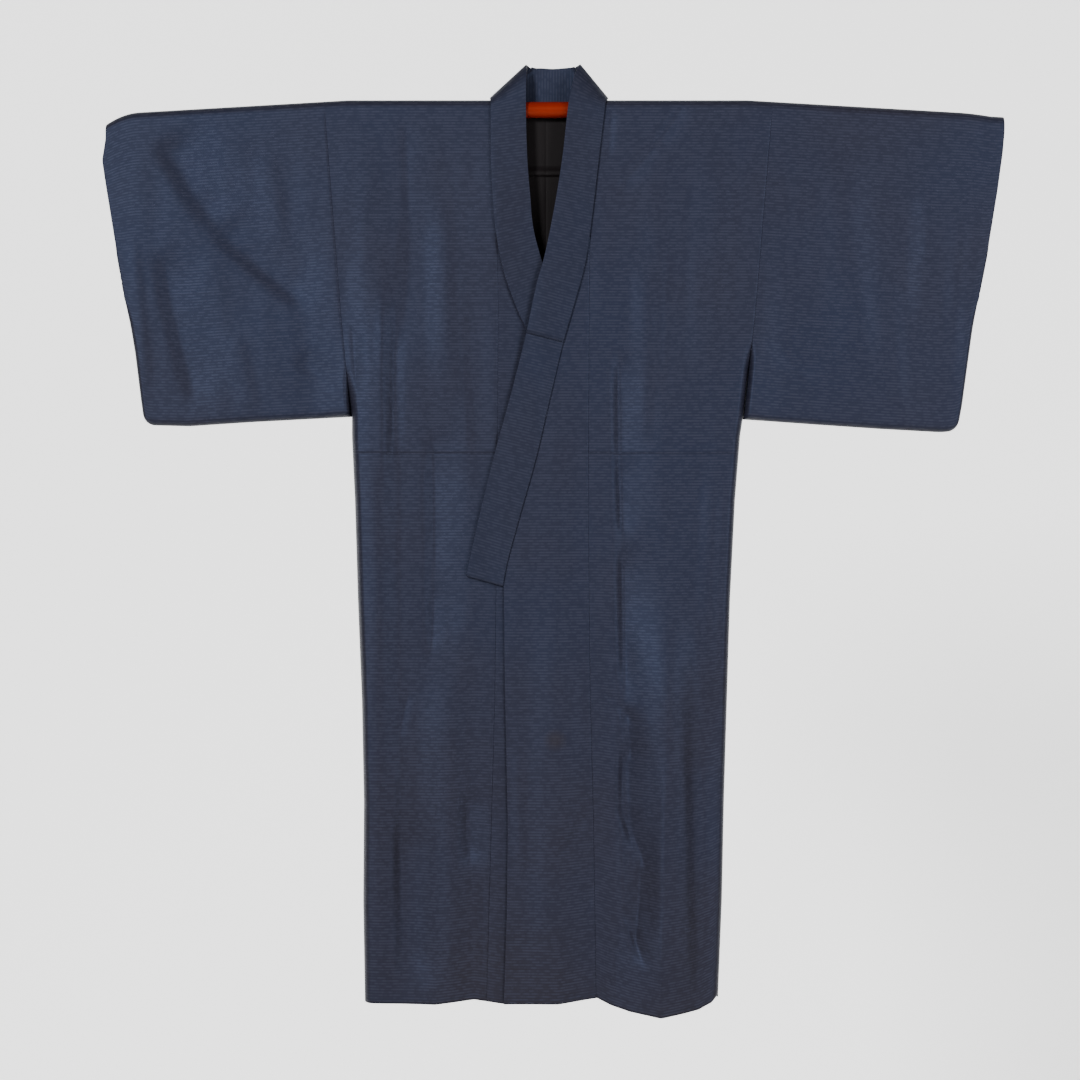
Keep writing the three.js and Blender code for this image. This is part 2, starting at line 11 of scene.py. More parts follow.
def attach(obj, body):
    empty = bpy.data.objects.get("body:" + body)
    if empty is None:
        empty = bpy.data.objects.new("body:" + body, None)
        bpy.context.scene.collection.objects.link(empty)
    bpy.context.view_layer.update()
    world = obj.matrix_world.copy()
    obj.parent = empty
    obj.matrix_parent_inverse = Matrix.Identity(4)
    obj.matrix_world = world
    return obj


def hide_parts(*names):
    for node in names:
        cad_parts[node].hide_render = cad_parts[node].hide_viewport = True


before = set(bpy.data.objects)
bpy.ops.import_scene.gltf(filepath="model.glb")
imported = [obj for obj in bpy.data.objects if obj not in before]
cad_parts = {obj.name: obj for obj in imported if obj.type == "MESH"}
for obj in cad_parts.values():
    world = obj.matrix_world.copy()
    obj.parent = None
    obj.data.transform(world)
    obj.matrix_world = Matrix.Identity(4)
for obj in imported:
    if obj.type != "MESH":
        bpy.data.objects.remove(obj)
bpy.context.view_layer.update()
MM = 0.001


# The rod: one round turned bar, lacquered vermilion. It runs straight through the shoulders,
# and its arms droop a little into the sleeves. Its ends are rounded over.
ROD_RADIUS = 12
ROD_HALF = 630
ROD_STRAIGHT_HALF = 300
ROD_DROOP = 0.058
ROD_SIDES = 64
ROD_STATIONS = 42
ROD_END_ROUNDING = 3
ROD_END_SEGMENTS = 4


def clamp(t):
    return min(1.0, max(0.0, t))


def smooth(t):
    t = clamp(t)
    return t * t * (3 - 2 * t)


def mix(a, b, t):
    return a + (b - a) * t


def rod_droop(x):
    return -ROD_DROOP * max(0.0, abs(x) - ROD_STRAIGHT_HALF)


class Wire:
    """A shader socket that takes part in sums, and makes the nodes that it feeds."""

    def __init__(self, tree, socket=None):
        self.tree = tree
        self.socket = socket

    def node(self, kind, settings=None, inputs=None, output=0):
        made = self.tree.nodes.new(kind)
        for key, value in (settings or {}).items():
            setattr(made, key, value)
        for key, value in (inputs or {}).items():
            if isinstance(value, Wire):
                self.tree.links.new(value.socket, made.inputs[key])
            else:
                made.inputs[key].default_value = value
        return Wire(self.tree, made.outputs[output])

    def maths(self, operation, first, second=0.0):
        return self.node("ShaderNodeMath", {"operation": operation}, {0: first, 1: second})

    def __add__(self, other):
        return self.maths("ADD", self, other)

    def __radd__(self, other):
        return self.maths("ADD", other, self)

    def __sub__(self, other):
        return self.maths("SUBTRACT", self, other)

    def __rsub__(self, other):
        return self.maths("SUBTRACT", other, self)

    def __mul__(self, other):
        return self.maths("MULTIPLY", self, other)

    def __rmul__(self, other):
        return self.maths("MULTIPLY", other, self)

    def blend(self, low, high):
        low, high = (end if isinstance(end, Wire) else (*end, 1) for end in (low, high))
        return self.node("ShaderNodeMix", {"data_type": "RGBA"}, {0: self, 6: low, 7: high}, output=2)


def new_finish(name, roughness, specular=0.5, specular_tint=(1, 1, 1)):
    finish = bpy.data.materials.new(name)
    finish.use_nodes = True
    tree = finish.node_tree
    shader = tree.nodes["Principled BSDF"]
    shader.inputs["Roughness"].default_value = roughness
    shader.inputs["Specular IOR Level"].default_value = specular
    shader.inputs["Specular Tint"].default_value = (*specular_tint, 1)
    return finish, shader, Wire(tree)


LACQUER_DEEP = (0.105, 0.0042, 0.0007)
LACQUER_BRIGHT = (0.150, 0.0070, 0.0012)
LACQUER_SHINE = (1.0, 0.5, 0.28)
LACQUER_CLOUDS = 26.0
LACQUER_RUBS = 400.0


def lacquer():
    """Satin lacquer, a little clouded in its colour and finely rubbed."""
    finish, shader, wire = new_finish("vermilion_lacquer", 0.4, 0.3, LACQUER_SHINE)
    place = wire.node("ShaderNodeTexCoord", output="Object")
    cloud = wire.node("ShaderNodeTexNoise", None, {"Vector": place, "Scale": LACQUER_CLOUDS, "Detail": 4.0})
    rub = wire.node("ShaderNodeTexNoise", None, {"Vector": place, "Scale": LACQUER_RUBS, "Detail": 3.0})
    colour = cloud.blend(LACQUER_DEEP, LACQUER_BRIGHT)
    wire.tree.links.new(colour.socket, shader.inputs["Base Color"])
    gloss = cloud * 0.16 + rub * 0.06 + 0.24
    wire.tree.links.new(gloss.socket, shader.inputs["Roughness"])
    bump = wire.node("ShaderNodeBump", None, {"Strength": 0.08, "Distance": 0.0004, "Height": rub})
    wire.tree.links.new(bump.socket, shader.inputs["Normal"])
    return finish


def keep_mesh(name, bm, finishes):
    mesh = bpy.data.meshes.new(name)
    bm.to_mesh(mesh)
    bm.free()
    mesh.polygons.foreach_set("use_smooth", [True] * len(mesh.polygons))
    for finish in finishes:
        mesh.materials.append(finish)
    piece = bpy.data.objects.new(name, mesh)
    bpy.context.scene.collection.objects.link(piece)
    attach(piece, "root")
    return piece


def make_rod():
    bm = bmesh.new()
    turned = bmesh.ops.create_circle(bm, segments=ROD_SIDES, radius=ROD_RADIUS * MM)
    bmesh.ops.rotate(
        bm,
        verts=turned["verts"],
        cent=(0, 0, 0),
        matrix=Vector((0, 0, 1)).rotation_difference(Vector((1, 0, 0))).to_matrix(),
    )
    bmesh.ops.translate(bm, verts=turned["verts"], vec=(-ROD_HALF * MM, 0, rod_droop(ROD_HALF) * MM))
    start = bmesh.ops.contextual_create(bm, geom=list(bm.edges))["faces"]
    rim = list(bm.edges)
    x = -ROD_HALF
    for station in range(1, ROD_STATIONS + 1):
        after = mix(-ROD_HALF, ROD_HALF, station / ROD_STATIONS)
        drawn = bmesh.ops.extrude_edge_only(bm, edges=rim)["geom"]
        ring = [item for item in drawn if isinstance(item, bmesh.types.BMVert)]
        rim = [item for item in drawn if isinstance(item, bmesh.types.BMEdge)]
        step = Vector((after - x, 0, rod_droop(after) - rod_droop(x))) * MM
        bmesh.ops.translate(bm, verts=ring, vec=step)
        x = after
    last = bmesh.ops.contextual_create(bm, geom=rim)["faces"]
    ends = [edge for face in (*start, *last) for edge in face.edges]
    bmesh.ops.recalc_face_normals(bm, faces=bm.faces)
    bmesh.ops.bevel(
        bm,
        geom=ends,
        offset=ROD_END_ROUNDING * MM,
        segments=ROD_END_SEGMENTS,
        profile=0.5,
        affect="EDGES",
        material=-1,
    )
    piece = keep_mesh("lacquered_rod", bm, [lacquer()])
    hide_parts("rod_middle", "rod_arm_right", "rod_arm_left")


make_rod()


# The body: one loom width for each half, from the back hem over the shoulder to the front hem.
# The silk hangs from the rod in long soft folds, with a tuck sewn across each front at the waist,
# and it is lined in black, which shows only inside.
CLOTH_WALL = 1.3
SEAM_GAP = 0.04
SHOULDER_RADIUS = 13.6
BODY_LENGTH = 1332
HIDDEN_LAP = 8
NECK_HALF_WIDTH = 86
SIDE_ROUNDING = 11
OVERLAP_LIFT = 3
OVERLAP_SINK = 8
OVER_SEAM_X = 68
LAYER_EASE = 78
SINK_TOP = -60
SINK_EASE = 150
OVERLAP_TOP = -188
SEAM_EASE = 28
RIGHT_ANGLE = math.pi / 2
BACK_HEM = -1330
HEM_POWER = 4
SETTLE_DEPTH = 30
CLOTH_STEP = 6
TURN_STEP = 0.125
BODY_COLUMNS = 60
SLEEVE_BOTTOM = {"right": -460, "left": -464}

# the waist tuck: its height, then how far it stands proud above and sinks at the stitching
TUCK_HEIGHT = -516
TUCK_PROUD = 0.5
TUCK_PROUD_ABOVE = 5
TUCK_PROUD_WIDTH = 7
TUCK_SINK = 0.9
TUCK_SINK_WIDTH = 1.2
TUCK_ROWS = (-4, -2.4, -1.2, 0, 1.2, 2.4, 4, 8, 12)

# a pressed seam: how far and how wide its upper edge turns down
ROLL_DEPTH = 0.8
ROLL_WIDTH = 1.5

# where each armhole ends, and the height over which the cloth below it closes
ARMHOLE_END = {"right": (-385, 75), "left": (-345, 55)}

# how soon two closing edges have drawn in by half their wall
CLOSING_RATE = 20

# how far a fold reaches on its steep and on its long side, as shares of its width
RIDGE_LEAN = (0.85, 1.25)
TROUGH_LEAN = (0.62, 1.95)
FOLD_FADE = 0.3
CREASE_WIDTH = 20
CREASE_FULLNESS = 0.6

# length across, length down, depth and shift of the ripples in the hung cloth
RIPPLES = ((70, 260, 1.5, 0), (24, 90, 0.45, 7))
RIPPLE_EASE = 120
FRONT_SEED = 1
BACK_SEED = 23

# z, front depth, back depth
HANGING_DEPTH = (
    (0, 13.6, 13.6),
    (-60, 14, 14),
    (-150, 16, 15.5),
    (-300, 19, 17.5),
    (-600, 21, 19),
    (-1000, 22, 20),
    (-1400, 23, 21),
)

# x0, z0, x1, z1, depth, width of each fold: the largest first, then the finer creases
FRONT_FOLDS = (
    (-259, -250, -252, -1345, 10, 44),
    (-172, -495, -170, -807, -4.5, 28),
    (-150, -850, -146, -1345, 6, 40),
    (-216, -1060, -208, -1300, -7, 34),
    (-121, -1020, -119, -1130, -3.5, 24),
    (108, -370, 114, -640, -4.4, 31),
    (114, -640, 120, -930, -4.8, 31),
    (119, -930, 133, -1230, -8, 32),
    (176, -760, 184, -1365, 18, 66),
    (254, -60, 247, -420, 2.4, 36),
    (-204, -160, -212, -360, -3, 34),
    (20, -760, 18, -1345, 4, 44),
    (-247, -285, -244, -560, 2.6, 13),
    (-229, -285, -232, -520, -3.0, 11),
    (-292, -325, -286, -420, -1.6, 13),
    (-173, -490, -170, -690, -2.4, 12),
    (-172, -715, -175, -812, -2.2, 11),
    (-208, -868, -226, -940, -1.8, 8),
    (-121, -1020, -118, -1130, -2.6, 11),
    (-214, -20, -208, -170, -1.0, 18),
    (93, -4, 87, -72, -2.0, 8),
    (-160, -120, -150, -420, 1.6, 26),
    (-118, -300, -108, -520, -1.4, 20),
    (-226, -960, -232, -1180, 1.8, 12),
    (-98, -1150, -100, -1300, -2.2, 14),
    (200, 4, 158, -56, -2.8, 15),
    (160, -52, 102, -122, -2.6, 15),
    (180, -200, 178, -420, -1.8, 22),
    (150, -230, 140, -500, 1.8, 22),
    (106, -366, 106, -530, -4.4, 19),
    (106, -526, 110, -640, -4.6, 19),
    (110, -650, 114, -860, -5.2, 19),
    (84, -872, 128, -914, -3.0, 9),
    (114, -894, 124, -968, -5.6, 19),
    (112, -952, 108, -1060, -5.4, 18),
    (108, -1044, 145, -1122, -5.4, 18),
    (138, -1110, 128, -1256, -5.4, 18),
    (112, -1188, 142, -1262, -3.4, 11),
    (97, -1240, 99, -1320, -2.0, 12),
    (214, -900, 226, -1330, -4.0, 26),
    (172, -980, 166, -1340, 2.4, 18),
    (246, -540, 236, -900, 2.2, 20),
    (-44, -955, -41, -1138, 2.0, 13),
    (54, -1052, 18, -1116, -3.0, 9),
    (64, -1156, 54, -1200, -1.8, 7),
    (30, -560, 26, -900, -1.4, 22),
)

BACK_FOLDS = (
    (-236, -420, -228, -1345, 12, 46),
    (-140, -300, -128, -1345, -6, 40),
    (-58, -620, -62, -1345, 8, 44),
    (66, -520, 72, -1345, 9, 44),
    (150, -340, 142, -1345, -7, 40),
    (226, -560, 214, -1345, 13, 46),
    (-252, -470, -246, -900, 2.6, 13),
    (-206, -600, -202, -1250, -3.0, 14),
    (-122, -420, -128, -760, -2.6, 11),
    (-104, -880, -92, -1240, 2.4, 15),
    (-34, -700, -26, -1180, -2.6, 12),
    (-150, -140, -120, -320, -1.8, 18),
    (38, -560, 46, -980, -2.4, 12),
    (96, -760, 104, -1300, 2.2, 16),
    (128, -380, 136, -690, -2.6, 11),
    (176, -900, 168, -1300, -3.0, 14),
    (248, -640, 240, -1120, 2.6, 13),
    (170, -120, 134, -330, -1.8, 18),
    (200, -60, 196, -300, 1.8, 16),
    (-206, -40, -196, -280, 1.8, 16),
)

# z, right side, left side: armhole seams, then side seams
BODY_SIDES = (
    (20, -335, 337),
    (-304, -309, 309.5),
    (-460, -294, 292.5),
    (-490, -294, 288),
    (-585, -289.5, 280.5),
    (-735, -285, 273),
    (-885, -279, 268.5),
    (-1035, -276, 264),
    (-1185, -277, 261),
    (-1335, -274.5, 255),
)

# z, right seam, left seam: where the overlap panels are sewn to the body
OVERLAP_SEAMS = (
    (-188, -75.5, 63),
    (-304, -74, 61.5),
    (-600, -76, 60),
    (-870, -79, 63),
    (-1065, -84, 68),
    (-1335, -91.5, 72),
)

# x, z: the front hem
HEM_LINE = (
    (-276, -1334),
    (-168, -1337),
    (-110, -1329),
    (-66, -1336),
    (16, -1336),
    (73, -1327),
    (94, -1338),
    (121, -1347),
    (168, -1356),
    (224, -1344),
    (243, -1334),
    (256, -1319),
)

# sewn x, sewn z, free x, free z: the collar's fronts from the shoulder down
LEFT_COLLAR = (
    (84.5, -2, 31, 10),
    (75, -82, 21, -76),
    (66, -159, 9.8, -146),
    (55.5, -231, -4.8, -219),
    (42, -282, -17.5, -266),
    (22.5, -351, -32.5, -337),
    (0.8, -442.5, -55.5, -429),
    (-18, -523.5, -77.5, -509),
    (-44, -616, -100, -600),
    (-61, -680, -114.5, -664),
    (-67.5, -714, -122, -699),
)
RIGHT_COLLAR = (
    (-85.5, -2, -33, 8),
    (-85, -80, -31, -74),
    (-82, -140, -27, -128),
    (-76.5, -195, -22, -180),
    (-64, -253, -7, -236),
    (-46, -302, 5.5, -280),
    (-32, -333, 20, -313),
    (0, -420, 53, -402),
    (28, -512, 82, -498),
    (48, -610, 103, -601),
    (60, -706, 115.5, -700),
)
COLLARS = {"left": LEFT_COLLAR, "right": RIGHT_COLLAR}
SIGNS = {"left": 1, "right": -1}
SIDE_COLUMN = {"right": 1, "left": 2}


def read_table(table, key, at, column):
    """A value read from a table at a place between two of its rows."""
    rows = table if table[0][key] < table[-1][key] else table[::-1]
    if at <= rows[0][key]:
        return rows[0][column]
    for low, high in zip(rows, rows[1:]):
        if at <= high[key]:
            return mix(low[column], high[column], (at - low[key]) / (high[key] - low[key]))
    return rows[-1][column]


def fold_depth(folds, x, z):
    """How far the folds lift or sink the cloth at a place. Each fades at its ends and leans: a
    ridge is steeper toward the wearer's left, and a trough is much steeper toward the right. A
    narrow crease comes to a sharp line."""
    total = 0.0
    for x0, z0, x1, z1, depth, width in folds:
        dx, dz = x1 - x0, z1 - z0
        length = math.hypot(dx, dz)
        across = ((x - x0) * dz - (z - z0) * dx) / length
        steep, long = RIDGE_LEAN if depth > 0 else TROUGH_LEAN
        reach = width * (steep if (across > 0) == (depth < 0) else long)
        if abs(across) >= reach:
            continue
        along = ((x - x0) * dx + (z - z0) * dz) / length
        fade = max(width, length * FOLD_FADE)
        start = smooth(along / fade + FOLD_FADE)
        end = smooth((length - along) / fade + FOLD_FADE)
        t = abs(across) / reach
        if width < CREASE_WIDTH:
            profile = (1 - t) ** 2 * (1 + CREASE_FULLNESS * t)
        else:
            profile = (1 - t * t) ** 2
        total += depth * profile * start * end
    return total


def hang_ripple(x, z, seed):
    """The slight unevenness of silk that has hung for a while, longer down than across."""
    return sum(
        depth * noise.noise(Vector((x / across, z / down, seed + shift)))
        for across, down, depth, shift in RIPPLES
    )


def front_depth(x, z):
    ripple = hang_ripple(x, z, FRONT_SEED) * smooth(-z / RIPPLE_EASE)
    return read_table(HANGING_DEPTH, 0, z, 1) + fold_depth(FRONT_FOLDS, x, z) + ripple


def back_depth(x, z):
    ripple = hang_ripple(x, z, BACK_SEED) * smooth(-z / RIPPLE_EASE)
    return read_table(HANGING_DEPTH, 0, z, 2) + fold_depth(BACK_FOLDS, x, z) + ripple


def armhole_shut(side, z):
    end, ease = ARMHOLE_END[side]
    return smooth((end - z) / ease)


def edge_inset(shut):
    """Half the wall, drawn in where two edges have closed on each other."""
    return CLOTH_WALL / 2 * clamp(CLOSING_RATE * shut)


def edge_roll(distance):
    """A seam is pressed to one side: the upper cloth's edge turns down over the stitching."""
    return ROLL_DEPTH * math.exp(-((distance / ROLL_WIDTH) ** 2))


def tuck(z):
    """The waist tuck: the cloth above it stands a little proud and turns under at the stitching."""
    above = z - TUCK_HEIGHT
    proud = TUCK_PROUD * math.exp(-(((above - TUCK_PROUD_ABOVE) / TUCK_PROUD_WIDTH) ** 2))
    sunk = TUCK_SINK * math.exp(-((above / TUCK_SINK_WIDTH) ** 2))
    return proud - sunk


def even_steps(start, end, step):
    count = max(1, round(abs(end - start) / step))
    return [mix(start, end, i / count) for i in range(count + 1)]


def edged(count, start=0.0, end=1.0, near=(0.1, 0.25, 0.5)):
    """Even shares from start to end, with extra ones beside each end for the rolled edges."""
    share = (end - start) / count
    extra = [start + share * n for n in near] + [end - share * n for n in near]
    return sorted({start + share * i for i in range(count + 1)} | set(extra))


def weave_sheet(name, across, down, place, wall, finishes, upright=None):
    """A grid of cloth laid out by place(u, v), given its woven lengths as a UV map and then its wall.
    upright(v) is how far the ribs stand plumb there, where the strip is drawn in."""
    columns, rows = len(across) - 1, len(down) - 1
    laid = [[place(u, v) for u in across] for v in down]
    mid = columns // 2
    s_run = [[0.0] * (columns + 1) for _ in range(rows + 1)]
    t_run = [[0.0] * (columns + 1) for _ in range(rows + 1)]
    for j, row in enumerate(laid):
        for i in range(1, columns + 1):
            s_run[j][i] = s_run[j][i - 1] + (row[i] - row[i - 1]).length
        centre = s_run[j][mid]
        s_run[j] = [s - centre for s in s_run[j]]
    for j in range(1, rows + 1):
        step = (laid[j][mid] - laid[j - 1][mid]).length
        t_run[j] = [t + step for t in t_run[j - 1]]
    bm = bmesh.new()
    bmesh.ops.create_grid(bm, x_segments=columns, y_segments=rows, size=0.5)
    woven = bm.loops.layers.uv.new("weave")
    where = {}
    for vert in bm.verts:
        i = round((vert.co.x + 0.5) * columns)
        j = round((vert.co.y + 0.5) * rows)
        where[vert.index] = (i, j)
    for face in bm.faces:
        for loop in face.loops:
            i, j = where[loop.vert.index]
            drawn_in = upright(down[j]) * (laid[j][i].x - laid[j][mid].x) if upright else 0
            loop[woven].uv = (s_run[j][i] * MM, (t_run[j][i] - drawn_in) * MM)
    for vert in bm.verts:
        i, j = where[vert.index]
        vert.co = laid[j][i] * MM
    bm.normal_update()
    foremost = min(bm.faces, key=lambda face: face.calc_center_median().y)
    if foremost.normal.y > 0:
        bmesh.ops.reverse_faces(bm, faces=bm.faces)
    piece = keep_mesh(name, bm, finishes)
    solid = piece.modifiers.new("wall", "SOLIDIFY")
    solid.thickness = wall * MM
    solid.offset = 0
    solid.material_offset = len(finishes) - 1
    return piece


# The weave and the marks of the silk are in metres, as its material measures.
FULL_TURN = 2 * math.pi
ROW_PITCH = 0.0043
DASH_LENGTH = 0.011
DASH_SHIFT = 7.37
RIB_PITCH = 0.0014
SLUB_SCALE = (9.0, 620.0, 1.0)
SILK_CLOUDS = 3.2
SILK_SHINE = (0.34, 0.48, 0.88)
# the ground's blue and brown turns: clouds mix them at random, and by height they are painted sheen and
# painted shade, bluer up high and browner toward the hem between the two heights below
BLUE_TURN = (0.86, 0.97, 1.22)
BROWN_AND_SHADE_TURN = (1.18, 0.98, 0.74)
HEM_SHADE_TOP = -0.55
HEM_SHADE_BOTTOM = -1.3
STAIN_PLACE = (0.0105, -0.028, -0.943)
STAIN_HEART = 0.005
STAIN_EDGE = 0.019
STAIN_STRENGTH = 0.4
STAIN_COLOUR = (0.0190, 0.0125, 0.0060)


def silk(name, ground, dash):
    """Navy silk: fine rows of broken dashes in a lighter thread, with a rib, slubs and a soft blue
    shine. The ground turns from blue to brown at random in clouds, with painted sheen and painted
    shade by height: bluer up high, browner toward the hem. It has one faint stain."""
    finish, shader, wire = new_finish(name, 0.5, 0.22, SILK_SHINE)
    woven = wire.node("ShaderNodeUVMap", {"uv_map": "weave"})
    across = wire.node("ShaderNodeSeparateXYZ", None, {0: woven})
    along = wire.node("ShaderNodeSeparateXYZ", None, {0: woven}, output=1)
    place = wire.node("ShaderNodeTexCoord", output="Object")
    height = wire.node("ShaderNodeSeparateXYZ", None, {0: place}, output=2)

    row = along * (1 / ROW_PITCH)
    row_number = wire.maths("FLOOR", row)
    in_row = wire.maths("FRACT", row)
    line = 0.5 - 0.5 * wire.maths("COSINE", in_row * FULL_TURN)
    dash_at = {0: across * (1 / DASH_LENGTH), 1: row_number * DASH_SHIFT}
    dash_place = wire.node("ShaderNodeCombineXYZ", None, dash_at)
    flat_noise = {"noise_dimensions": "2D"}
    uneven = wire.node("ShaderNodeTexNoise", flat_noise, {"Vector": dash_place, "Scale": 1.0})
    dashed = wire.node("ShaderNodeMapRange", None, {0: uneven, 1: 0.4, 2: 0.56, 3: 0.25, 4: 1.0})
    broken = line * dashed
    slub_place = wire.node("ShaderNodeMapping", None, {"Vector": woven, "Scale": SLUB_SCALE})
    slub = wire.node("ShaderNodeTexNoise", flat_noise, {"Vector": slub_place, "Scale": 1.0})

    cloud = wire.node("ShaderNodeTexNoise", None, {"Vector": place, "Scale": SILK_CLOUDS, "Detail": 3.0})
    patch = wire.node("ShaderNodeMapRange", None, {0: cloud, 1: 0.36, 2: 0.64, 3: 0.0, 4: 1.0})
    # painted shade and sheen: the ground is painted browner toward the hem and bluer higher up
    low = wire.node("ShaderNodeMapRange", None, {0: height, 1: HEM_SHADE_TOP, 2: HEM_SHADE_BOTTOM, 3: 0.0, 4: 1.0})
    blue = tuple(part * turn for part, turn in zip(ground, BLUE_TURN))
    brown_and_shade = tuple(part * turn for part, turn in zip(ground, BROWN_AND_SHADE_TURN))
    ground_colour = (patch * 0.5 + low * 0.5).blend(blue, brown_and_shade)
    thread = (broken * 0.7 + slub * 0.4 - 0.12).blend(ground_colour, dash)
    stain_at = {0: place, 1: STAIN_PLACE}
    from_stain = wire.node("ShaderNodeVectorMath", {"operation": "DISTANCE"}, stain_at, output=1)
    stain_fade = {0: from_stain, 1: STAIN_HEART, 2: STAIN_EDGE, 3: STAIN_STRENGTH, 4: 0.0}
    stain = wire.node("ShaderNodeMapRange", None, stain_fade)
    thread = stain.blend(thread, STAIN_COLOUR)
    wire.tree.links.new(thread.socket, shader.inputs["Base Color"])

    gloss = 0.51 - 0.06 * broken + slub * 0.05
    wire.tree.links.new(gloss.socket, shader.inputs["Roughness"])
    rib = wire.maths("SINE", along * (FULL_TURN / RIB_PITCH)) * 0.4
    relief = broken * 0.8 + rib + slub * 0.5
    bump = wire.node("ShaderNodeBump", None, {"Strength": 0.3, "Distance": 0.0002, "Height": relief})
    wire.tree.links.new(bump.socket, shader.inputs["Normal"])
    return finish


LINING_DEEP = (0.0034, 0.0025, 0.0029)
LINING_PALE = (0.0056, 0.0043, 0.0049)
LINING_CLOUDS = 9.0
LINING_THREAD = 0.0009


def black_lining():
    """Plain black lining silk, with a fine even weave and faint cloudiness."""
    finish, shader, wire = new_finish("black_lining_silk", 0.6, specular=0.08)
    woven = wire.node("ShaderNodeUVMap", {"uv_map": "weave"})
    across = wire.node("ShaderNodeSeparateXYZ", None, {0: woven})
    along = wire.node("ShaderNodeSeparateXYZ", None, {0: woven}, output=1)
    place = wire.node("ShaderNodeTexCoord", output="Object")
    cloud = wire.node("ShaderNodeTexNoise", None, {"Vector": place, "Scale": LINING_CLOUDS, "Detail": 4.0})
    colour = cloud.blend(LINING_DEEP, LINING_PALE)
    wire.tree.links.new(colour.socket, shader.inputs["Base Color"])
    turn = FULL_TURN / LINING_THREAD
    weave = wire.maths("SINE", across * turn) + wire.maths("SINE", along * turn)
    bump = wire.node("ShaderNodeBump", None, {"Strength": 0.2, "Distance": 0.0001, "Height": weave})
    wire.tree.links.new(bump.socket, shader.inputs["Normal"])
    return finish


LINING_SILK = black_lining()
BODY_SILK = silk("navy_silk", (0.0108, 0.0101, 0.0146), (0.0220, 0.0220, 0.0330))


def body_front_inner(side, z):
    sign = SIGNS[side]
    neck = read_table(COLLARS[side], 1, z, 0) - sign * HIDDEN_LAP
    seam = read_table(OVERLAP_SEAMS, 0, z, SIDE_COLUMN[side]) + sign * SEAM_GAP / 2
    return mix(neck, seam, clamp((OVERLAP_TOP + SEAM_EASE - z) / SEAM_EASE))


def over_shoulder(x, v):
    angle = v * RIGHT_ANGLE
    forward = SHOULDER_RADIUS * math.sin(angle)
    upward = SHOULDER_RADIUS * math.cos(angle)
    return Vector((x, -forward, rod_droop(x) + upward))


def make_body(side):
    sign = SIGNS[side]
    neck_edge = sign * (NECK_HALF_WIDTH - HIDDEN_LAP)
    centre = sign * SEAM_GAP / 2
    across = edged(BODY_COLUMNS) + even_steps(1, 2, TURN_STEP)[1:]
    fine_tuck = [TUCK_HEIGHT + n for n in TUCK_ROWS]
    front_rows = sorted(set(even_steps(0, -BODY_LENGTH, CLOTH_STEP)) | set(fine_tuck), reverse=True)
    back_rows = even_steps(-BODY_LENGTH, 0, CLOTH_STEP)
    down = [z / BODY_LENGTH - 1 for z in back_rows]
    down += even_steps(-1, 1, TURN_STEP)[1:-1]
    down += [1 - z / BODY_LENGTH for z in front_rows]

    def place(u, v):
        fall = max(0.0, abs(v) - 1)
        flat_z = -fall * BODY_LENGTH
        shut = armhole_shut(side, flat_z)
        edge = read_table(BODY_SIDES, 0, flat_z, SIDE_COLUMN[side])
        edge -= sign * (SEAM_GAP / 2 + edge_inset(shut))
        inner = body_front_inner(side, flat_z) if v >= 0 else centre
        if abs(v) < 1:
            inner = mix(neck_edge, centre, clamp(-3 * v - 1))
        turn = max(0.0, u - 1) * RIGHT_ANGLE
        round_start = edge - sign * SIDE_ROUNDING
        x = mix(inner, round_start, min(1, u)) + sign * SIDE_ROUNDING * math.sin(turn)
        if abs(v) < 1:
            return over_shoulder(x, v)
        hem = read_table(HEM_LINE, 0, x, 1) if v > 0 else BACK_HEM
        z = flat_z + rod_droop(x) * clamp(1 - flat_z / SLEEVE_BOTTOM[side])
        z += (hem + BODY_LENGTH) * fall ** HEM_POWER
        opened = front_depth(x, flat_z) + tuck(flat_z) if v > 0 else back_depth(x, flat_z)
        settled = smooth(-flat_z / SETTLE_DEPTH)
        opened -= edge_roll(abs(x - (inner if side == "right" else edge))) * settled
        half = SEAM_GAP / 2
        depth = half + (opened - half) * mix(1, math.cos(turn), shut)
        return Vector((x, -depth if v > 0 else depth, z))

    piece = weave_sheet(
        f"body_silk_{side}", across, down, place, CLOTH_WALL, [BODY_SILK, LINING_SILK]
    )
    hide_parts(f"body_{side}_front", f"body_{side}_back")


make_body("right")
make_body("left")


# The sleeves: each one loom width folded over the rod, sewn shut along the bottom and up the
# outer edge as far as the cuff. The left one's lowest part hangs free of the body.
SLEEVE_ROUNDING = 8
SLEEVE_CORNER = 17
CUFF_OPENING = -275
LOOSE_TOP = -395
LOOSE_GAP = 0.2
LOOSE_EASE = 20
CUFF_EASE = 50
SLEEVE_COLUMNS = 54
SLEEVE_RIPPLE_EASE = 90
SLEEVE_FRONT_SEED = 41
SLEEVE_BACK_SEED = 67
BACK_FOLD_SHARE = -0.6
BODY_BLEND = 60
SLUMP_START = 612
SLUMP_WIDTH = 50
SLUMP_DEPTH = {"right": 16, "left": 3}

# z, depth
SLEEVE_DEPTH = ((20, 13.6), (-60, 13.8), (-150, 15), (-500, 15))

